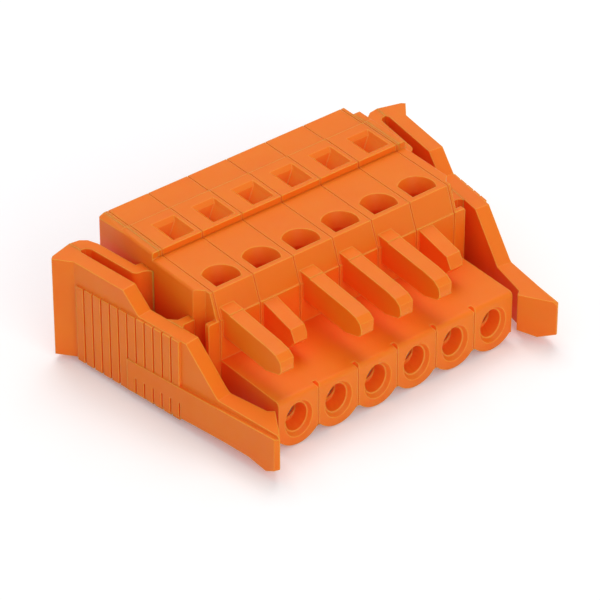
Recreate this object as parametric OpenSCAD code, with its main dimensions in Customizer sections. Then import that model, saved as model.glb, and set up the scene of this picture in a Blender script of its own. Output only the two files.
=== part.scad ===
// Pluggable female terminal block: six poles with cage clamps and two latching levers.
// +X runs along the poles, the mating face looks along -Y, wires enter along -Y at the
// rear, +Z is up. The origin is under the middle of the overall box. Inside the modules
// Y is measured from the mating face and Z from the axis of the contact sockets.

/* [Poles] */
// Distance from one pole to the next
pitch = 5.08; // [5:0.01:5.2]

/* [Sleeve block] */
// Depth of the sleeve block, from the mating face to the riser
sleeve_depth = 9.3; // [8.5:0.1:10.5]
// Top of the sleeve block above the socket axis
sleeve_top = 3; // [2.8:0.05:3.6]
// Flat underside between the sleeves, below the socket axis
sleeve_floor = 2; // [1.6:0.05:2.4]
// Radius of the sleeve round each socket
sleeve_r = 3.05; // [2.8:0.05:3.1]
// Rounding of the block's upper front edge
front_round = 0.5; // [0.2:0.05:0.8]
// Width of a pin mouth
mouth_w = 3.5; // [3:0.1:3.8]
// Height of a pin mouth
mouth_h = 4.3; // [3.8:0.1:4.6]
// Depth of a pin mouth, to the stop in front of its contact
mouth_depth = 1.9; // [1.4:0.1:2.2]
// Depth of the chamfer round a pin mouth
mouth_chamfer = 0.45; // [0.3:0.05:0.6]
// Width of the chamfer round a pin mouth
mouth_bevel = 0.3; // [0.2:0.05:0.4]

/* [Housing] */
// Length from the riser to the rear face
body_len = 18.6; // [18.4:0.1:21]
// Underside of the body below the socket axis
body_drop = 3.2; // [3:0.05:3.6]
// Height at which the riser starts to lean back
riser_h = 7.5; // [7:0.1:8.2]
// How far the riser leans back
riser_lean = 1.2; // [0.6:0.1:1.6]
// Height of the middle deck
deck_h = 10.65; // [10.4:0.05:11.4]
// Distance from the riser to the start of the facet on the left end wall
facet_in = 12.2; // [11.5:0.1:13]
// Slope of the facet on the left end wall
facet_tilt = 22; // [15:1:30]
// Fall of the facet towards the rear
facet_fall = 1.4; // [0.8:0.1:2]
// Thickness of each end wall
cheek_t = 1.26; // [1:0.02:1.6]
// How much shorter the right end wall is than the rear cover
right_short = 1.6; // [1.2:0.1:2]
// Rounding of the body's upper long edges and rear corners
corner_r = 0.3; // [0.2:0.05:0.6]
// Depth of the neck behind the flange, measured from the end walls
neck_inset = 0.9; // [0.6:0.05:1]
// Length of the neck, with the flange
neck_len = 1.9; // [1.6:0.1:2.1]
// Thickness of the side flange
flange_t = 0.55; // [0.4:0.05:0.9]
// How far the flange stands past the end walls
flange_over = 0.2; // [0.1:0.05:0.4]
// Height of the side flange
flange_h = 7.85; // [7:0.05:8.4]
// Rounding of the flange's outer corner
flange_r = 0.25; // [0.15:0.05:0.6]
// Width of the marking grooves between poles
groove_w = 0.12; // [0.08:0.02:0.2]
// Depth of the marking grooves between poles
groove_d = 0.1; // [0.05:0.01:0.15]

/* [Coding fingers] */
// Width of a coding finger
finger_w = 1.75; // [1.6:0.05:2.1]
// Distance from the pole's middle to the near side of its finger
finger_gap = 0.4; // [0.2:0.05:0.5]
// Distance from the mating face to the tip of a long finger
finger_tip = 0.1; // [0:0.1:1]
// Height of a long finger's top at the riser
finger_top = 8.85; // [8.4:0.05:9.2]
// Drop of a long finger's top at its tip
finger_fall = 0.45; // [0.2:0.05:0.8]
// Depth of a finger, top to underside
finger_h = 2.95; // [2.5:0.05:3.2]
// Rounding of a finger's right front corner
finger_r = 0.35; // [0.2:0.05:0.5]
// How much shorter a short finger is
short_cut = 4.2; // [3.5:0.1:5]
// How much lower a short finger sits
short_drop = 1.2; // [0.9:0.05:1.4]
// Which poles have a long finger (1) and which a short one (0)
finger_long = [1, 0, 1, 1, 1, 0];

/* [Rear cover] */
// Length of the rear cover
cover_len = 9.15; // [9:0.05:9.8]
// Step from the middle deck up to the cover
cover_rise = 0.75; // [0.4:0.05:1]
// How far the rear cover reaches past the end poles
cover_over = 0.4; // [0.2:0.05:0.6]
// Length of the cover's level top
plateau_len = 5.45; // [5:0.05:6]
// Small step at the end of the level top
plateau_step = 0.15; // [0.08:0.01:0.25]
// Fall of the cover's top at the rear face
rear_fall = 0.2; // [0.15:0.05:0.5]
// Thickness of the wall round the wire entries
rear_wall = 3.8; // [3.4:0.1:4]
// Width of a tool opening
tool_w = 2.9; // [2.6:0.1:3.2]
// Length of a tool opening
tool_len = 3.65; // [3.4:0.05:3.9]
// Offset of a tool opening from the pole's middle
tool_shift = 0.6; // [0.4:0.05:0.7]
// Width of the sloping frame round a tool opening
tool_frame = 0.5; // [0.3:0.05:0.6]
// Depth of the sloping frame round a tool opening
frame_d = 0.35; // [0.2:0.05:0.5]
// Depth of the tapered part of a tool opening
tool_depth = 1.5; // [1.2:0.1:1.9]
// Taper of a tool opening on its far side
tool_taper = 1.1; // [0.8:0.05:1.3]
// Radius of a wire entry
wire_r = 1.6; // [1.4:0.05:1.7]
// Radius of a wire entry's lead-in
lead_r = 2.2; // [1.9:0.05:2.3]
// Depth of a wire entry's lead-in
lead_len = 1.5; // [0.8:0.1:2]
// Axis of the wire entries below the socket axis
wire_drop = 0.6; // [0.5:0.05:0.8]

/* [Test ports] */
// Radius of a test port
port_r = 1.4; // [1.2:0.05:1.6]
// Distance from the deck's front edge to a port's straight side
port_edge = 0.55; // [0.4:0.05:0.8]
// Radius of a port's funnel at the deck
funnel_r = 2; // [1.8:0.05:2.1]
// Depth of a port's funnel
funnel_d = 1.7; // [1.2:0.1:2.2]
// Distance from a port's axis to its straight left side
port_left = 1.55; // [1.3:0.05:1.8]
// Distance from a port's axis to its straight front side
port_front = 1.2; // [1:0.05:1.5]

/* [Clamp cavity] */
// Width of the cavity of one pole
cavity_w = 4.2; // [4.1:0.05:4.4]
// Floor of the cavity below the socket axis
cavity_floor = 2.5; // [2.4:0.05:2.6]
// Roof of the cavity above the socket axis
cavity_roof = 8.6; // [8.5:0.05:8.8]

/* [Contacts] */
// Bore that takes a 1 mm square pin
pin_r = 0.72; // [0.7:0.01:0.8]
// Outer radius of a contact socket
socket_r = 1.15; // [1.05:0.01:1.2]
// Width of the stop in front of a contact socket
stop_lip = 0.15; // [0.1:0.01:0.2]
// Thickness of the stop in front of a contact socket
stop_t = 0.3; // [0.2:0.05:0.4]
// Clearance round a contact socket
socket_gap = 0.05; // [0.03:0.01:0.08]
// Length of a contact socket
socket_len = 5.2; // [4.6:0.1:5.8]
// Width of the current bar
bar_w = 2.2; // [2:0.05:2.3]
// Thickness of the current bar
bar_t = 0.8; // [0.7:0.05:0.9]
// Underside of the current bar above the socket axis
bar_low = 0.6; // [0.5:0.05:0.7]
// Gap from the current bar to the cavity's rear wall
bar_end_gap = 0.5; // [0.3:0.05:0.8]

/* [Clamps] */
// Width of the spring strip
strip_w = 3.8; // [3.6:0.05:3.9]
// Thickness of the spring strip
strip_t = 0.5; // [0.4:0.02:0.55]
// Outer radius of the front bend
bend_r = 1.25; // [1.2:0.01:1.3]
// Outer radius of the rear bend
rear_bend_r = 1; // [0.9:0.05:1.05]
// Clearance between the front bend and its seat
seat_gap = 0.05; // [0.03:0.01:0.08]
// Distance from the riser to the front bend's axis
clamp_in = 3.3; // [3.1:0.05:3.5]
// Length of the upper leg between the bends
leg_len = 8.6; // [8.3:0.05:8.7]
// Slope of the upper leg
leg_tilt = 30; // [29:0.5:30.5]
// Width of the window round the current bar
window_w = 2.6; // [2.5:0.05:2.8]
// Top of the window above the current bar
window_rise = 2.6; // [2.2:0.1:3]
// Height of the clamping lip
lip_h = 0.7; // [0.5:0.05:0.8]
// Gap from the clamping lip to the current bar with no wire in
lip_gap = 0.05; // [0.02:0.01:0.1]

/* [Levers] */
// Angle between a lever and the end wall
toe = 7.33; // [6.5:0.1:8]
// Gap from the end wall to the inside of a lever, beside the web
lever_gap = 1.94; // [1.8:0.02:2.2]
// Thickness of a lever
lever_t = 1.7; // [1.3:0.02:1.8]
// Distance from the riser to the web's middle
web_in = 3.05; // [2.9:0.05:3.2]
// Thickness of the web that joins a lever to the end wall
web_t = 1; // [0.8:0.05:1.2]
// Width of the sloping root on each side of the web, where it meets a lever
web_root = 0.6; // [0.4:0.05:0.8]
// Length of a lever behind the web, up to its thumb flare
tail_len = 13.05; // [12.8:0.05:13.4]
// Height of a lever's thumb plate
thumb_h = 9.3; // [9:0.05:9.6]
// Height of a lever's middle
saddle_h = 7.15; // [7:0.05:7.6]
// Height of a lever's arm
arm_h = 2.5; // [2.35:0.05:2.8]
// How far the hook reaches in front of the mating face
hook_reach = 3.8; // [3.6:0.1:4.4]
// How far the hook stands inside its arm
hook_catch = 0.55; // [0.4:0.05:0.65]
// How far the thumb flare stands out
flare = 1.2; // [0.8:0.1:1.4]
// Underside of a lever below the socket axis
lever_drop = 2.5; // [2.2:0.05:2.8]
// Number of grip ribs
ribs = 12; // [8:1:12]
// Distance from one grip rib to the next
rib_pitch = 1.25; // [1:0.01:1.26]
// Plain strip of the plate behind the rearmost rib
rib_edge = 0.3; // [0.1:0.05:0.6]
// Width of a grip rib
rib_w = 1.02; // [0.8:0.02:1.1]
// How far a grip rib stands out
rib_h = 0.25; // [0.15:0.01:0.3]
// Top of the rearmost grip rib
rib_top = 6.7; // [6.2:0.05:6.8]
// Rise of the rib tops from the rearmost rib to the foremost
rib_rise = 0.4; // [0:0.05:0.45]
// Number of grip ribs behind the ledge
free_ribs = 6; // [4:1:7]
// How far the ledge stands out from the plate
ledge_out = 0.4; // [0.3:0.02:0.5]
// Height of the ledge at its rear end
ledge_rear_h = 1.4; // [1.2:0.05:1.6]
// Height of the ledge at the hook
ledge_front_h = 2.15; // [1.9:0.05:2.3]
// Height of the smooth band of the ledge
ledge_band = 1.9; // [1.6:0.1:2.4]

/* [Return springs] */
// Thickness of a return spring
leaf_t = 1.15; // [0.9:0.05:1.3]
// Width of the slot between a lever and its return spring
leaf_slot = 1.1; // [0.9:0.05:1.2]
// Distance from the riser to the root of a return spring
root_in = 10; // [9.7:0.05:10.3]
// Length of a return spring's root along the end wall
root_len = 1.3; // [1.1:0.05:1.6]
// Hollow rounding between the root and the end wall
root_r = 1.1; // [0.8:0.05:1.2]
// Rounding of the root's outer corner
root_nose = 0.7; // [0.5:0.05:0.9]

/* [Hidden] */
$fn = 64;
poles = 6;
eps = 0.01;
plastic = [0.93, 0.46, 0.14];
copper_tin = [0.78, 0.76, 0.72];
steel = [0.68, 0.69, 0.71];

// Poles, from the left end to the right end
function pole_x(i) = (i - (poles - 1) / 2) * pitch;
block_half = poles * pitch / 2;
body_half = block_half + cheek_t;
cover_half = block_half + cover_over;

// Stations along Y
riser_y = sleeve_depth;
deck_y = riser_y + riser_lean;
rear_y = riser_y + body_len;
cover_y = rear_y - cover_len;
slope_y = cover_y + plateau_len;
facet_y = riser_y + facet_in;
cavity_end = rear_y - rear_wall;
socket_y = mouth_depth + stop_t;
bar_y = socket_y + socket_len - 0.5;
clamp_y = riser_y + clamp_in;
web_y = riser_y + web_in;
root_y = riser_y + root_in;

// Heights
cover_h = deck_h + cover_rise;
bar_top = bar_low + bar_t;
clamp_z = bar_top + seat_gap + bend_r;
lip_top = bar_low - lip_gap;

// How far a hollow rounding stops short of running out to nothing
blunt = 0.06;

// Clamp legs: how far a flat leg starts past a bend's tangent point, and lies inside it
leg_lap = 0.05;
leg_inset = 0.03;

// Levers: local axes have their origin on the hinge, u outward and v rearward
hinge_x = body_half + 0.8;
lever_in = (lever_gap - 0.8) * cos(toe);
lever_out = lever_in + lever_t;
hook_v = (lever_out * sin(toe) - web_y - hook_reach) / cos(toe);
arm_v = -(web_y - 0.3) / cos(toe) + 0.1;
function rib_v(k) = tail_len - rib_edge - (k + 0.5) * rib_pitch;
ledge_v = tail_len - rib_edge - free_ribs * rib_pitch;
ledge_slope = (ledge_front_h - ledge_rear_h) / (ledge_v - hook_v);
leaf_out = lever_in - leaf_slot;
leaf_in = leaf_out - leaf_t;
bend_v = tail_len + 0.7;

// ---------- helpers ----------

// Extrudes a profile drawn as (Y, Z) along X
module along_x(x0, x1) {
    translate([x0, 0, 0]) rotate([90, 0, 90]) linear_extrude(x1 - x0) children();
}

// Extrudes a profile drawn as (X, Z) along Y
module along_y(y0, y1) {
    translate([0, y1, 0]) rotate([90, 0, 0]) linear_extrude(y1 - y0) children();
}

// Extrudes a plan drawn as (X, Y) upwards
module upward(z0, z1) {
    translate([0, 0, z0]) linear_extrude(z1 - z0) children();
}

// What a convex corner at the origin loses to a rounding; the corner points to +X +Y
module corner_loss(r) {
    difference() {
        translate([-r, -r]) square(r + 1);
        translate([-r, -r]) circle(r);
    }
}

// Puts the model's own origin under the middle of the overall box
module placed() {
    translate([0, -(rear_y - hook_reach) / 2, body_drop]) children();
}

// ---------- housing ----------

// Front view of the sleeve block
module sleeve_outline() {
    translate([-block_half, -sleeve_floor])
        square([2 * block_half, sleeve_floor + sleeve_top]);
    intersection() {
        for (i = [0 : poles - 1]) translate([pole_x(i), 0]) circle(sleeve_r);
        translate([-block_half, -sleeve_r]) square([2 * block_half, 2 * sleeve_r]);
    }
}

// Side view of the sleeve block, with its rounded upper front edge
module sleeve_side() {
    difference() {
        translate([0, -sleeve_r - 1]) square([riser_y + eps, sleeve_r + 1 + sleeve_top]);
        translate([0, sleeve_top]) mirror([1, 0]) corner_loss(front_round);
    }
}

// Oval mouth of one pin bore, taller than it is wide: chamfer, taper, then the stop's hole
module pin_mouth() {
    outer = mouth_w / 2;
    edge = outer - mouth_bevel;
    floor_r = socket_r - stop_lip + 0.05;
    translate([0, -eps, 0]) rotate([-90, 0, 0]) cylinder(h = socket_y + 2 * eps, r = socket_r - stop_lip);
    scale([1, 1, mouth_h / mouth_w]) rotate([-90, 0, 0]) {
        translate([0, 0, -eps]) cylinder(h = mouth_chamfer + eps, r1 = outer, r2 = edge);
        cylinder(h = mouth_depth, r1 = edge, r2 = floor_r);
    }
}

// Side view of the space for one clamp; its front end is the round seat of the front bend
module cavity_side(y_end) {
    seat_r = bend_r + seat_gap;
    translate([clamp_y, clamp_z]) circle(seat_r);
    polygon([
        [clamp_y, -cavity_floor], [y_end, -cavity_floor], [y_end, cavity_roof],
        [clamp_y + 6, cavity_roof], [clamp_y - seat_r * sin(leg_tilt), clamp_z + seat_r * cos(leg_tilt)],
        [clamp_y, clamp_z]
    ]);
}

// Space behind the mouth of one pole: socket bore, bar slot and clamp cavity
module pole_space(y_end) {
    bore_r = socket_r + socket_gap;
    translate([0, socket_y, 0]) rotate([-90, 0, 0]) cylinder(h = clamp_y - socket_y, r = bore_r);
    translate([-bar_w / 2, bar_y, bar_low]) cube([bar_w, clamp_y - bar_y, bar_t]);
    along_x(-cavity_w / 2, cavity_w / 2) cavity_side(y_end);
}

// One test port: a funnel with an upright front and left side, over a round hole
module test_port() {
    translate([-0.1, deck_y + port_edge + port_front, 0]) intersection() {
        union() {
            upward(clamp_z, deck_h + 1) circle(port_r);
            upward(deck_h - funnel_d, deck_h + 1) translate([-port_left, -port_front])
                square([port_left, port_front]);
            translate([0, 0, deck_h - funnel_d]) cylinder(h = funnel_d + eps, r1 = port_r, r2 = funnel_r);
        }
        upward(clamp_z - 1, deck_h + 2) translate([-port_left, -port_front]) square(5);
    }
}

// Side view of the body in front of the rear cover, moved inward by d
module body_side(d) {
    polygon([
        [riser_y + d, -body_drop - 1], [riser_y + d, riser_h], [deck_y + d, deck_h - d],
        [cover_y, deck_h - d], [cover_y, -body_drop - 1]
    ]);
}

// Side view of the raised rear, moved inward by d
module rear_side(d) {
    polygon([
        [cover_y + d, -body_drop - 1], [cover_y + d, cover_h - d], [slope_y, cover_h - d],
        [slope_y, cover_h - plateau_step - d], [rear_y, cover_h - rear_fall - d],
        [rear_y, -body_drop - 1]
    ]);
}

// Front view of the body up to the height h, with rounded upper corners
module body_front(h) {
    difference() {
        translate([-body_half, -body_drop]) square([2 * body_half, body_drop + h]);
        for (s = [0, 1]) mirror([s, 0]) translate([body_half, h]) corner_loss(corner_r);
    }
}

// Plan of the body: neck behind the flange, then full width to the rounded rear corners
module body_plan() {
    neck = body_half - neck_inset;
    neck_y = riser_y + neck_len;
    difference() {
        polygon([
            [-neck, riser_y], [neck, riser_y], [neck, neck_y], [body_half, neck_y + neck_inset],
            [body_half, rear_y], [-body_half, rear_y], [-body_half, neck_y + neck_inset],
            [-neck, neck_y]
        ]);
        for (s = [0, 1]) mirror([s, 0]) translate([body_half, rear_y]) corner_loss(corner_r);
    }
}

// Flange that runs down both sides of the riser
module side_flange() {
    half = body_half + flange_over;
    along_y(riser_y, riser_y + flange_t) difference() {
        translate([-half, -body_drop]) square([2 * half, body_drop + flange_h]);
        for (s = [0, 1]) mirror([s, 0]) translate([half, flange_h]) corner_loss(flange_r);
    }
}

// Body without its inside; the rear half keeps only the two end walls
module body_shell() {
    intersection() {
        union() {
            intersection() {
                along_x(-body_half, body_half) body_side(0);
                along_y(0, cover_y) body_front(deck_h);
            }
            intersection() {
                along_x(-body_half, body_half) rear_side(0);
                along_y(cover_y - eps, rear_y) body_front(cover_h);
                union() {
                    translate([-body_half - 1, cover_y - eps, -body_drop])
                        cube([body_half - cover_half + 1, cover_len + 1, body_drop + cover_h + 1]);
                    translate([cover_half, cover_y - eps, -body_drop])
                        cube([body_half - cover_half + 1, cover_len - right_short, body_drop + cover_h + 1]);
                }
            }
        }
        upward(-body_drop, cover_h) body_plan();
    }
    side_flange();
}

// Space above the sloping facet that runs down the left end wall's top towards the rear
module left_facet() {
    turn = atan((body_half - cover_half) / (rear_y - facet_y));
    translate([-body_half, facet_y, cover_h]) rotate([-facet_fall, 0, -turn]) rotate([0, -facet_tilt, 0])
        translate([-2, -1, 0]) cube([4, 12, 3]);
}

// Side view of a finger. Long ones end in a rounded nose, short ones are cut off aslant.
module finger_side(long) {
    root = riser_y + riser_lean;
    tip = finger_tip;
    nose = finger_top - finger_fall;
    if (long) {
        polygon([
            [root, finger_top + 0.2], [riser_y - 1, finger_top + 0.1], [riser_y - 1, finger_top],
            [tip + 2.3, nose], [tip + 0.9, nose - 0.25],
            [tip + 0.2, nose - 0.75], [tip, nose - 1.3], [tip, nose - 1.8], [tip + 0.3, nose - 2.25],
            [tip + 2.4, nose - finger_h + 0.05], [root, finger_top - finger_h]
        ]);
    } else {
        cut = tip + short_cut;
        polygon([
            [root, finger_top - short_drop], [riser_y, finger_top - short_drop],
            [cut + 0.7, nose - short_drop - 0.5], [cut, nose - short_drop - 1.75],
            [cut + 1, nose - short_drop - finger_h], [root, finger_top - short_drop - finger_h - 0.3]
        ]);
    }
}

module coding_finger(i) {
    long = finger_long[i] == 1;
    right = pole_x(i) - finger_gap;
    difference() {
        along_x(right - finger_w, right) finger_side(long);
        upward(-sleeve_r, deck_h) translate([right, finger_tip + (long ? 0 : short_cut)])
            mirror([0, 1]) corner_loss(finger_r);
    }
}

// Marking groove between two poles, up the riser and across the deck
module body_groove() {
    along_x(-groove_w / 2, groove_w / 2) difference() {
        translate([riser_y - 1, sleeve_top]) square([cover_y - riser_y + 1, deck_h]);
        body_side(groove_d);
    }
}

// Marking groove on the mating face, with the notch in the block's upper edge
module sleeve_groove() {
    translate([-groove_w / 2, -1, -sleeve_r]) cube([groove_w, 1 + groove_d, 2 * sleeve_r]);
    translate([0, -eps, sleeve_top - 0.3]) rotate([-90, 0, 0]) linear_extrude(0.9)
        polygon([[-0.3, -0.4], [0.3, -0.4], [0, 0.1]]);
}

module housing() {
    color(plastic) placed() difference() {
        union() {
            intersection() {
                along_y(0, riser_y + eps) sleeve_outline();
                along_x(-block_half, block_half) sleeve_side();
            }
            body_shell();
            for (i = [0 : poles - 1]) coding_finger(i);
        }
        for (i = [0 : poles - 1]) translate([pole_x(i), 0, 0]) {
            pin_mouth();
            pole_space(cover_y + eps);
            test_port();
        }
        for (i = [0 : poles]) translate([pole_x(i) - pitch / 2, 0, 0]) body_groove();
        for (i = [1 : poles - 1]) translate([pole_x(i) - pitch / 2, 0, 0]) sleeve_groove();
        left_facet();
    }
}

// ---------- rear cover ----------

// Tool opening of one pole: sloping frame, then sloping right and rear walls down to a slot
module tool_opening() {
    left = tool_shift - tool_w / 2;
    right = left + tool_w;
    front = cover_y + 0.5;
    rear = front + tool_len;
    rim = cover_h - frame_d;
    low = cover_h - tool_depth;
    base = cavity_roof - eps;
    intersection() {
        along_x(left, right) polygon([
            [front, cover_h + 1], [rear, cover_h + 1], [rear, cover_h], [rear - tool_frame, rim],
            [rear - tool_frame - tool_taper / 2, low], [rear - tool_frame - tool_taper / 2, base],
            [front + tool_frame, base], [front + tool_frame, rim], [front, cover_h]
        ]);
        along_y(front, rear) polygon([
            [left, cover_h + 1], [right, cover_h + 1], [right, cover_h], [right - tool_frame / 2, rim],
            [right - tool_frame / 2 - tool_taper, low], [right - tool_frame / 2 - tool_taper, base],
            [left + tool_frame, base], [left + tool_frame, rim], [left, cover_h]
        ]);
    }
}

// Wire entry of one pole, with a tapered lead-in at the rear face
module wire_entry() {
    translate([0, cavity_end - eps, -wire_drop]) rotate([-90, 0, 0])
        cylinder(h = rear_wall + 1, r = wire_r);
    translate([0, rear_y - lead_len, -wire_drop]) rotate([-90, 0, 0])
        cylinder(h = lead_len + eps, r1 = wire_r, r2 = lead_r);
}

// Marking groove across the cover's top
module cover_groove() {
    along_x(-groove_w / 2, groove_w / 2) difference() {
        translate([cover_y - 1, deck_h]) square([cover_len + 2, cover_rise + 1]);
        rear_side(groove_d);
    }
}

module rear_cover() {
    color(plastic) placed() difference() {
        intersection() {
            along_x(-cover_half, cover_half) rear_side(0);
            translate([-cover_half, cover_y, -body_drop])
                cube([2 * cover_half, cover_len, body_drop + cover_h]);
        }
        for (i = [0 : poles - 1]) translate([pole_x(i), 0, 0]) {
            along_x(-cavity_w / 2, cavity_w / 2)
                translate([cover_y - eps, -cavity_floor])
                    square([cavity_end - cover_y + eps, cavity_floor + cavity_roof]);
            tool_opening();
            wire_entry();
        }
        for (i = [0 : poles]) translate([pole_x(i) - pitch / 2, 0, 0]) cover_groove();
    }
}

// ---------- levers ----------

// Places a lever's local axes on the hinge of one side: 1 is the right side, -1 the left
module lever_axes(side) {
    mirror([side < 0 ? 1 : 0, 0, 0]) translate([hinge_x, web_y, 0]) rotate([0, 0, -toe]) children();
}

// Side view of a lever, drawn as (v, Z)
module lever_side() {
    tip = hook_v;
    polygon([
        [tip, -lever_drop + 1], [tip + 1.6, -lever_drop + 0.2], [tip + 4, -lever_drop + 0.7],
        [tip + 7.5, -lever_drop + 0.7], [tail_len - 5, -lever_drop], [tail_len + 3, -lever_drop],
        [tail_len + 3, thumb_h], [tail_len - 7.1, thumb_h], [tail_len - 9.3, saddle_h],
        [-2.95, saddle_h], [-7.1, arm_h + 0.2], [-7.4, arm_h], [tip + 0.4, arm_h], [tip, arm_h - 0.4]
    ]);
}

// Plan of a lever, drawn as (u, v): hook, arm, plate and thumb flare
module lever_plan() {
    out = lever_out;
    catch_u = lever_in - 0.45;
    polygon([
        [out, hook_v], [out, tail_len], [out + flare, tail_len + 2], [out + flare - 0.4, tail_len + 2.3],
        [leaf_out + 0.85, tail_len + 2.7], [leaf_out + 0.85, bend_v + 0.35], [lever_in, bend_v],
        [lever_in, -6.8], [catch_u, arm_v], [catch_u - hook_catch, arm_v - 0.55]
    ]);
}

// Ledge along the lower half of the outer face, from the ribs to the hook
module lever_ledge() {
    out = lever_out;
    intersection() {
        upward(-lever_drop, arm_h) polygon([
            [out - 0.5, ledge_v], [out + ledge_out, ledge_v], [out + ledge_out, hook_v + 0.45],
            [out, hook_v], [out - 0.5, hook_v + 0.8]
        ]);
        along_v() intersection() {
            lever_side();
            polygon([
                [ledge_v, -lever_drop], [ledge_v, ledge_rear_h], [hook_v, ledge_front_h], [hook_v, -lever_drop]
            ]);
        }
    }
}

// Extrudes a profile drawn as (v, Z) across a lever
module along_v() {
    rotate([90, 0, 90]) translate([0, 0, -5]) linear_extrude(15) children();
}

// One grip rib
module rib(v, h) {
    upward(-lever_drop, h) translate([lever_out - eps, v - rib_w / 2]) square([rib_h + eps, rib_w]);
}

// Groove in the ledge, in line with the gap behind the rib at v
module ledge_groove(v) {
    top = ledge_rear_h + ledge_slope * (ledge_v - v) - ledge_band;
    translate([lever_out + ledge_out - rib_h, v + rib_w / 2, -lever_drop - eps])
        cube([rib_h + eps, rib_pitch - rib_w, lever_drop + top]);
}

module lever_body() {
    intersection() {
        upward(-lever_drop, thumb_h) lever_plan();
        along_v() lever_side();
    }
}

module lever(side) {
    color(plastic) placed() lever_axes(side) difference() {
        union() {
            lever_body();
            lever_ledge();
            for (k = [0 : ribs - 1]) rib(rib_v(k), rib_top + rib_rise * k / (ribs - 1));
        }
        for (k = [free_ribs + 1 : ribs]) ledge_groove(rib_v(k));
    }
}

// Web with a sloping root on each side where it meets the lever's flat inner face
module hinge_web(side) {
    h = web_t / 2;
    root_x = body_half + lever_gap - web_root;
    color(plastic) placed() mirror([side < 0 ? 1 : 0, 0, 0]) intersection() {
        translate([0, web_y, 0]) upward(-lever_drop, saddle_h) polygon([
            [body_half, -h], [root_x, -h], [root_x + 2, -h - 2], [root_x + 2, h + 2], [root_x, h],
            [body_half, h]
        ]);
        translate([hinge_x, web_y, 0]) rotate([0, 0, -toe])
            translate([lever_in - 5, -5, -5]) cube([5, 10, 20]);
    }
}

// Leaf beside the lever's plate, with a root that swings round into the end wall
module return_spring(side) {
    nose_u = leaf_out - root_nose;
    nose_y = root_y + root_nose;
    nose_x = hinge_x + (nose_u + (nose_y - web_y) * sin(toe)) / cos(toe);
    nose_v = (nose_x - hinge_x) * sin(toe) + (nose_y - web_y) * cos(toe);
    color(plastic) placed() {
        lever_axes(side) upward(-lever_drop, thumb_h) polygon([
            [leaf_out, nose_v], [leaf_out, bend_v - 0.3], [leaf_out + 0.3, bend_v + 0.2],
            [leaf_out + 0.85, bend_v + 0.35], [leaf_out + 0.85, tail_len + 2.7],
            [leaf_in + 0.9, tail_len + 2.4], [leaf_in + 0.3, tail_len + 1.8], [leaf_in, tail_len + 0.6],
            [leaf_in, nose_v]
        ]);
        mirror([side < 0 ? 1 : 0, 0, 0]) upward(-lever_drop, thumb_h) {
            translate([nose_x, nose_y]) circle(root_nose);
            translate([body_half, root_y]) square([nose_x - body_half, root_len]);
            difference() {
                translate([body_half, root_y - root_r]) square([root_r - blunt, root_r + 0.1]);
                translate([body_half + root_r - blunt, root_y - root_r]) circle(root_r);
            }
        }
    }
}

// ---------- contacts and clamps ----------

module contact(i) {
    color(copper_tin) placed() translate([pole_x(i), 0, 0]) difference() {
        union() {
            translate([0, socket_y, 0]) rotate([-90, 0, 0]) cylinder(h = socket_len, r = socket_r);
            translate([-bar_w / 2, bar_y, bar_low])
                cube([bar_w, cavity_end - bar_end_gap - bar_y, bar_t]);
        }
        translate([0, socket_y - eps, 0]) rotate([-90, 0, 0])
            cylinder(h = bar_y - socket_y + eps, r = pin_r);
    }
}

// Part of a ring between two angles, drawn about the origin
module ring_part(outer, inner, a0, a1) {
    far = outer * 2;
    difference() {
        intersection() {
            circle(outer);
            polygon([[0, 0], for (k = [0 : 4]) let (a = a0 + (a1 - a0) * k / 4) [far * cos(a), far * sin(a)]]);
        }
        circle(inner);
    }
}

// Side view of a clamp about its front bend: bend, upper leg, rear bend, window leg.
// Each bend laps into the flat legs beside it.
module clamp_side() {
    lap = 15;
    drop = bend_r - rear_bend_r;
    rear_c = [leg_len * cos(leg_tilt) - drop * sin(leg_tilt),
              leg_len * sin(leg_tilt) + drop * cos(leg_tilt)];
    foot = lip_top - lip_h - clamp_z;
    ring_part(bend_r, bend_r - strip_t, 90 + leg_tilt - lap, 300);
    rotate(leg_tilt) translate([leg_lap, bend_r - strip_t - leg_inset])
        square([leg_len - 2 * leg_lap, strip_t]);
    translate(rear_c) ring_part(rear_bend_r, rear_bend_r - strip_t, -lap, 90 + leg_tilt + lap);
    translate([rear_c[0] + rear_bend_r - strip_t - leg_inset, foot])
        square([strip_t, rear_c[1] - foot - leg_lap]);
}

module clamp(i) {
    window_low = lip_top - clamp_z;
    window_high = bar_top + window_rise - clamp_z;
    color(steel) placed() translate([pole_x(i), clamp_y, clamp_z]) difference() {
        along_x(-strip_w / 2, strip_w / 2) clamp_side();
        translate([-window_w / 2, leg_len / 2, window_low])
            cube([window_w, leg_len, window_high - window_low]);
    }
}

housing();
rear_cover();
lever(-1);  // lever_left
lever(1);  // lever_right
hinge_web(-1);  // hinge_web_left
hinge_web(1);  // hinge_web_right
return_spring(-1);  // return_spring_left
return_spring(1);  // return_spring_right
contact(0);  // contact_1
contact(1);  // contact_2
contact(2);  // contact_3
contact(3);  // contact_4
contact(4);  // contact_5
contact(5);  // contact_6
clamp(0);  // clamp_1
clamp(1);  // clamp_2
clamp(2);  // clamp_3
clamp(3);  // clamp_4
clamp(4);  // clamp_5
clamp(5);  // clamp_6
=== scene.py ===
"""Pluggable terminal block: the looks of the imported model, in metres."""
import math

import bmesh
import bpy
from mathutils import Matrix, Vector


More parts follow.
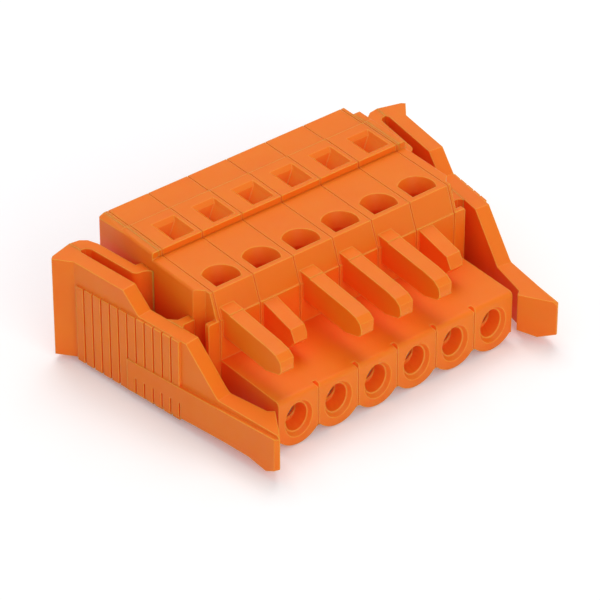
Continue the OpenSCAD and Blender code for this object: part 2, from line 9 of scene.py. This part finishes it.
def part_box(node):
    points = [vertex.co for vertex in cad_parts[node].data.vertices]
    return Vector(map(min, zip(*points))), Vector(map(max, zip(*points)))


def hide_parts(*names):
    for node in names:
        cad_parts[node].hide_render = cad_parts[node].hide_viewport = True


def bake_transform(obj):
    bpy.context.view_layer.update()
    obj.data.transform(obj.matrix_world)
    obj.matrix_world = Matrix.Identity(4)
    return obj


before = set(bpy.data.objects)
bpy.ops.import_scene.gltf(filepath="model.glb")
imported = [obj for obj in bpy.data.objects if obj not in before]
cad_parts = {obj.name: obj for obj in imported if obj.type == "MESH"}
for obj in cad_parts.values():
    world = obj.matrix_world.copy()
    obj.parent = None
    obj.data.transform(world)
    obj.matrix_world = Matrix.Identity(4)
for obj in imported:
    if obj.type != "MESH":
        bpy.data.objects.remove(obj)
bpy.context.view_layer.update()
MM = 0.001


# ---------- Camera ----------
# A long lens on a stand in front of the block's left corner, looking down on it.

def aim_camera(azimuth, elevation, distance, target, focal_mm):
    """Camera whose back vector is (sin a cos e, -cos a cos e, sin e), looking at target with +Z up."""
    a, e = math.radians(azimuth), math.radians(elevation)
    back = Vector((math.sin(a) * math.cos(e), -math.cos(a) * math.cos(e), math.sin(e)))
    right = Vector((0, 0, 1)).cross(back).normalized()
    up = back.cross(right)
    lens = bpy.data.cameras.new("studio_camera")
    lens.sensor_width = 36
    lens.lens = focal_mm
    lens.clip_start = 0.01
    lens.clip_end = 20
    camera = bpy.data.objects.new("studio_camera", lens)
    place = Matrix((right, up, back)).transposed().to_4x4()
    place.translation = Vector(target) + back * distance
    camera.matrix_world = place
    bpy.context.scene.collection.objects.link(camera)
    bpy.context.scene.camera = camera


aim_camera(-38.63, 35.45, 418.1 * MM, (-2.966 * MM, -0.05 * MM, 6.642 * MM), 246.6)


# ---------- Studio ----------
# A white paper sweep under two large soft panels, one overhead and one in front.
# The paper glows a little towards the camera, so that it stays white and keeps a soft shadow.

def linear(hex_colour, alpha=1.0):
    """sRGB hex to linear RGBA: c / 12.92 below 0.04045, else ((c + 0.055) / 1.055) ^ 2.4."""
    value = hex_colour.lstrip("#")
    srgb = [int(value[k:k + 2], 16) / 255 for k in (0, 2, 4)]
    return [c / 12.92 if c <= 0.04045 else ((c + 0.055) / 1.055) ** 2.4 for c in srgb] + [alpha]


def add_node(tree, kind, settings=None, inputs=None, links=None):
    """Adds a node, sets its properties and input values, and links {socket: source} into it."""
    made = tree.nodes.new(kind)
    for name, value in (settings or {}).items():
        setattr(made, name, value)
    for name, value in (inputs or {}).items():
        made.inputs[name].default_value = value
    for name, source in (links or {}).items():
        tree.links.new(source, made.inputs[name])
    return made


def new_material(name):
    """Empty node material."""
    material = bpy.data.materials.new(name)
    material.use_nodes = True
    material.node_tree.nodes.clear()
    return material, material.node_tree


def white_paper():
    """Matt white paper; camera, glossy and transmission rays see a share of plain white added to it."""
    material, tree = new_material("matt_white_paper")
    paper = add_node(tree, "ShaderNodeBsdfDiffuse", inputs={"Color": linear("#f2f6fa")})
    glow = add_node(tree, "ShaderNodeEmission", inputs={"Color": linear("#ffffff"), "Strength": 0.14})
    both = add_node(tree, "ShaderNodeAddShader")
    tree.links.new(paper.outputs[0], both.inputs[0])
    tree.links.new(glow.outputs[0], both.inputs[1])
    ray = add_node(tree, "ShaderNodeLightPath")
    camera_or_gloss = add_node(tree, "ShaderNodeMath", {"operation": "MAXIMUM"})
    tree.links.new(ray.outputs["Is Camera Ray"], camera_or_gloss.inputs[0])
    tree.links.new(ray.outputs["Is Glossy Ray"], camera_or_gloss.inputs[1])
    any_seen = add_node(tree, "ShaderNodeMath", {"operation": "MAXIMUM"})
    tree.links.new(camera_or_gloss.outputs[0], any_seen.inputs[0])
    tree.links.new(ray.outputs["Is Transmission Ray"], any_seen.inputs[1])
    seen = add_node(tree, "ShaderNodeMixShader")
    tree.links.new(any_seen.outputs[0], seen.inputs[0])
    tree.links.new(paper.outputs[0], seen.inputs[1])
    tree.links.new(both.outputs[0], seen.inputs[2])
    add_node(tree, "ShaderNodeOutputMaterial", links={"Surface": seen.outputs[0]})
    return material


bpy.ops.mesh.primitive_plane_add(size=1.6, location=(0, 0, -0.01 * MM))
sweep = bpy.context.object
sweep.name = "paper_sweep"
sweep.data.materials.append(white_paper())


def area_light(name, place, size, watts, colour):
    """Square soft light at place, turned to face the block."""
    lamp = bpy.data.lights.new(name, "AREA")
    lamp.size = size
    lamp.energy = watts
    lamp.color = linear(colour)[:3]
    light = bpy.data.objects.new(name, lamp)
    spot = Vector(place)
    light.matrix_world = spot.to_track_quat("Z", "Y").to_matrix().to_4x4()
    light.location = spot
    bpy.context.scene.collection.objects.link(light)


area_light("overhead_panel", (0.10, 0.16, 0.48), 0.36, 1.15, "#fff0ec")
area_light("front_panel", (-0.10, -0.50, 0.24), 0.40, 1.05, "#fdffee")

world = bpy.data.worlds.new("studio")
world.use_nodes = True
world.node_tree.nodes["Background"].inputs["Color"].default_value = linear("#ffffff")
world.node_tree.nodes["Background"].inputs["Strength"].default_value = 0.56
bpy.context.scene.world = world
bpy.context.scene.view_settings.view_transform = "Standard"


# ---------- Housing and rear cover ----------
# Injection-moulded polyamide 6.6, coloured orange right through, from a finely eroded mould.
# It is half glossy and lets a little light in; its colour carries painted shade, redder in deep places, and
# painted highlights, paler on edges.

def moulded_polyamide(name, colour, flow_colour, painted_shade_colour, painted_highlight_colour):
    """Body colour with faint flow marks, painted shade that makes it redder where little light reaches, and
    painted highlights that make its edges paler.

    A Mix node's colours are its inputs 6 and 7, and its mixed colour is output 2.
    """
    material, tree = new_material(name)
    place = add_node(tree, "ShaderNodeTexCoord").outputs["Object"]

    # flow marks of 4 mm, stretched along the poles
    flow_place = add_node(tree, "ShaderNodeMapping", links={"Vector": place})
    flow_place.inputs["Scale"].default_value = (0.5, 1.0, 1.0)
    flow = add_node(tree, "ShaderNodeTexNoise", inputs={"Scale": 250.0, "Detail": 3.0, "Roughness": 0.5},
                    links={"Vector": flow_place.outputs["Vector"]})
    flow_share = add_node(tree, "ShaderNodeMapRange",
                          inputs={"From Min": 0.35, "From Max": 0.75, "To Min": 0.0, "To Max": 0.6},
                          links={"Value": flow.outputs["Fac"]})
    flowed = add_node(tree, "ShaderNodeMix", {"data_type": "RGBA"},
                      links={"Factor": flow_share.outputs["Result"]})
    flowed.inputs[6].default_value = linear(colour)
    flowed.inputs[7].default_value = linear(flow_colour)

    # painted shade: the colour turns redder where little light reaches within 7 mm
    reach = add_node(tree, "ShaderNodeAmbientOcclusion", {"samples": 8}, {"Distance": 7.0 * MM})
    painted_shade_share = add_node(tree, "ShaderNodeMapRange",
                     inputs={"From Min": 0.1, "From Max": 0.7, "To Min": 1.0, "To Max": 0.0},
                     links={"Value": reach.outputs["AO"]})
    painted_shade = add_node(tree, "ShaderNodeMix", {"data_type": "RGBA"}, links={"Factor": painted_shade_share.outputs["Result"]})
    tree.links.new(flowed.outputs[2], painted_shade.inputs[6])
    painted_shade.inputs[7].default_value = linear(painted_shade_colour)

    # painted highlight: paler colour on edges, where the normal smoothed over 0.2 mm leaves the true one, and
    # the place is open
    smooth = add_node(tree, "ShaderNodeBevel", {"samples": 6}, {"Radius": 0.2 * MM})
    true = add_node(tree, "ShaderNodeNewGeometry")
    turned = add_node(tree, "ShaderNodeVectorMath", {"operation": "DOT_PRODUCT"})
    tree.links.new(smooth.outputs["Normal"], turned.inputs[0])
    tree.links.new(true.outputs["True Normal"], turned.inputs[1])
    edge = add_node(tree, "ShaderNodeMapRange",
                    inputs={"From Min": 0.99, "From Max": 0.86, "To Min": 0.0, "To Max": 0.9},
                    links={"Value": turned.outputs["Value"]})
    near = add_node(tree, "ShaderNodeAmbientOcclusion", {"samples": 6}, {"Distance": 0.4 * MM})
    open_edge = add_node(tree, "ShaderNodeMapRange",
                         inputs={"From Min": 0.4, "From Max": 0.75, "To Min": 0.0, "To Max": 1.0},
                         links={"Value": near.outputs["AO"]})
    painted_highlight_share = add_node(tree, "ShaderNodeMath", {"operation": "MULTIPLY"})
    tree.links.new(edge.outputs["Result"], painted_highlight_share.inputs[0])
    tree.links.new(open_edge.outputs["Result"], painted_highlight_share.inputs[1])
    painted_highlight = add_node(tree, "ShaderNodeMix", {"data_type": "RGBA"}, links={"Factor": painted_highlight_share.outputs["Value"]})
    tree.links.new(painted_shade.outputs[2], painted_highlight.inputs[6])
    painted_highlight.inputs[7].default_value = linear(painted_highlight_colour)

    # gloss varies in patches of 1.5 mm
    patch = add_node(tree, "ShaderNodeTexNoise", inputs={"Scale": 650.0, "Detail": 2.0},
                     links={"Vector": place})
    gloss = add_node(tree, "ShaderNodeMapRange",
                     inputs={"From Min": 0.3, "From Max": 0.7, "To Min": 0.42, "To Max": 0.54},
                     links={"Value": patch.outputs["Fac"]})

    # mould texture: real grains are 0.03 mm, drawn 0.15 mm wide so that they show
    grain = add_node(tree, "ShaderNodeTexNoise", inputs={"Scale": 6500.0, "Detail": 2.0},
                     links={"Vector": place})
    skin = add_node(tree, "ShaderNodeBump", inputs={"Strength": 0.25, "Distance": 0.01 * MM},
                    links={"Height": grain.outputs["Fac"], "Normal": smooth.outputs["Normal"]})

    body = add_node(tree, "ShaderNodeBsdfPrincipled", inputs={
        "IOR": 1.53, "Specular IOR Level": 0.25, "Subsurface Weight": 0.4, "Subsurface Radius": (1.0, 0.3, 0.06),
        "Subsurface Scale": 1.5 * MM
    }, links={
        "Base Color": painted_highlight.outputs[2], "Roughness": gloss.outputs["Result"], "Normal": skin.outputs["Normal"]
    })
    add_node(tree, "ShaderNodeOutputMaterial", links={"Surface": body.outputs["BSDF"]})
    return material


# the last two colours are the painted shade, redder in deep places, and the painted highlight, paler on edges
orange = moulded_polyamide("orange_polyamide", "#ec7a12", "#ea700e", "#ff661c", "#f8ac44")


def dress(material, *nodes):
    """Gives CAD nodes their material."""
    for node in nodes:
        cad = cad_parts[node]
        cad.data.materials.clear()
        cad.data.materials.append(material)


dress(orange, "housing", "rear_cover")


# ---------- Levers ----------
# One on each side, of the same polyamide: a ribbed thumb plate behind, a hooked arm in front.

dress(orange, "lever_left", "lever_right")


# ---------- Webs and return springs ----------
# Thin walls of the same moulding that join each lever to the end wall. The web lets the
# lever turn, and the leaf behind it pushes the lever back. Both bend as the lever is squeezed.

def flexing(node, name, material, cuts, start, end):
    """Copy of a CAD node, cut across at even steps from start to end so that it can bend between them."""
    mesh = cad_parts[node].data.copy()
    mesh.name = name
    shape = bmesh.new()
    shape.from_mesh(mesh)
    bmesh.ops.remove_doubles(shape, verts=shape.verts, dist=0.001 * MM)
    axis = Vector(end) - Vector(start)
    for k in range(cuts):
        spot = Vector(start) + axis * ((k + 0.5) / cuts)
        bmesh.ops.bisect_plane(shape, geom=shape.verts[:] + shape.edges[:] + shape.faces[:], plane_co=spot,
                               plane_no=axis.normalized(), dist=0.0005 * MM)
    shape.to_mesh(mesh)
    shape.free()
    mesh.materials.clear()
    mesh.materials.append(material)
    piece = bpy.data.objects.new(name, mesh)
    bpy.context.scene.collection.objects.link(piece)
    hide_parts(node)
    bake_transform(piece)
    return piece


LEAF_ROOT = 2.6 * MM    # stretch at the leaf's front end that stays on the end wall
LEAF_TIP = 0.6 * MM     # stretch at its rear end that goes with the lever
for side, sign in (("left", -1), ("right", 1)):
    web_low, web_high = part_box("hinge_web_" + side)
    wall_x = web_low[0] if sign > 0 else web_high[0]
    lever_x = web_high[0] if sign > 0 else web_low[0]
    mid_y = (web_low[1] + web_high[1]) / 2
    flexing("hinge_web_" + side, "bending_web_" + side, orange, 6,
            (wall_x, mid_y, 0), (lever_x, mid_y, 0))
    leaf_low, leaf_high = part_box("return_spring_" + side)
    flexing("return_spring_" + side, "bending_leaf_" + side, orange, 14,
            (wall_x, leaf_low[1] + LEAF_ROOT, 0), (wall_x, leaf_high[1] - LEAF_TIP, 0))


# ---------- Contacts ----------
# Copper alloy sockets, each turned with its current bar in one piece and tin-plated.

def drawn_metal(name, colour, cloud_colour):
    """Metal with faint cloudy patches of 0.8 mm and fine drawing lines along Y, drawn 0.08 mm apart."""
    material, tree = new_material(name)
    place = add_node(tree, "ShaderNodeTexCoord").outputs["Object"]
    cloud = add_node(tree, "ShaderNodeTexNoise", inputs={"Scale": 1250.0, "Detail": 3.0},
                     links={"Vector": place})
    colours = add_node(tree, "ShaderNodeMix", {"data_type": "RGBA"}, links={"Factor": cloud.outputs["Fac"]})
    colours.inputs[6].default_value = linear(colour)
    colours.inputs[7].default_value = linear(cloud_colour)
    drawn_place = add_node(tree, "ShaderNodeMapping", links={"Vector": place})
    drawn_place.inputs["Scale"].default_value = (1.0, 0.03, 1.0)
    lines = add_node(tree, "ShaderNodeTexNoise", inputs={"Scale": 12000.0, "Detail": 2.0},
                     links={"Vector": drawn_place.outputs["Vector"]})
    dull = add_node(tree, "ShaderNodeMapRange", inputs={"To Min": 0.28, "To Max": 0.45},
                    links={"Value": lines.outputs["Fac"]})
    metal = add_node(tree, "ShaderNodeBsdfPrincipled", inputs={"Metallic": 1.0}, links={
        "Base Color": colours.outputs[2], "Roughness": dull.outputs["Result"]})
    add_node(tree, "ShaderNodeOutputMaterial", links={"Surface": metal.outputs["BSDF"]})
    return material


tinned = drawn_metal("tinned_copper", "#c9c6bf", "#b7afa4")
dress(tinned, *["contact_%d" % pole for pole in range(1, 7)])


# ---------- Cage clamps ----------
# Bent from one strip of stainless spring steel, rolled bright, with fine lines along the strip.

steel = drawn_metal("stainless_spring_steel", "#b4b6b8", "#a4a6a9")
dress(steel, *["clamp_%d" % pole for pole in range(1, 7)])
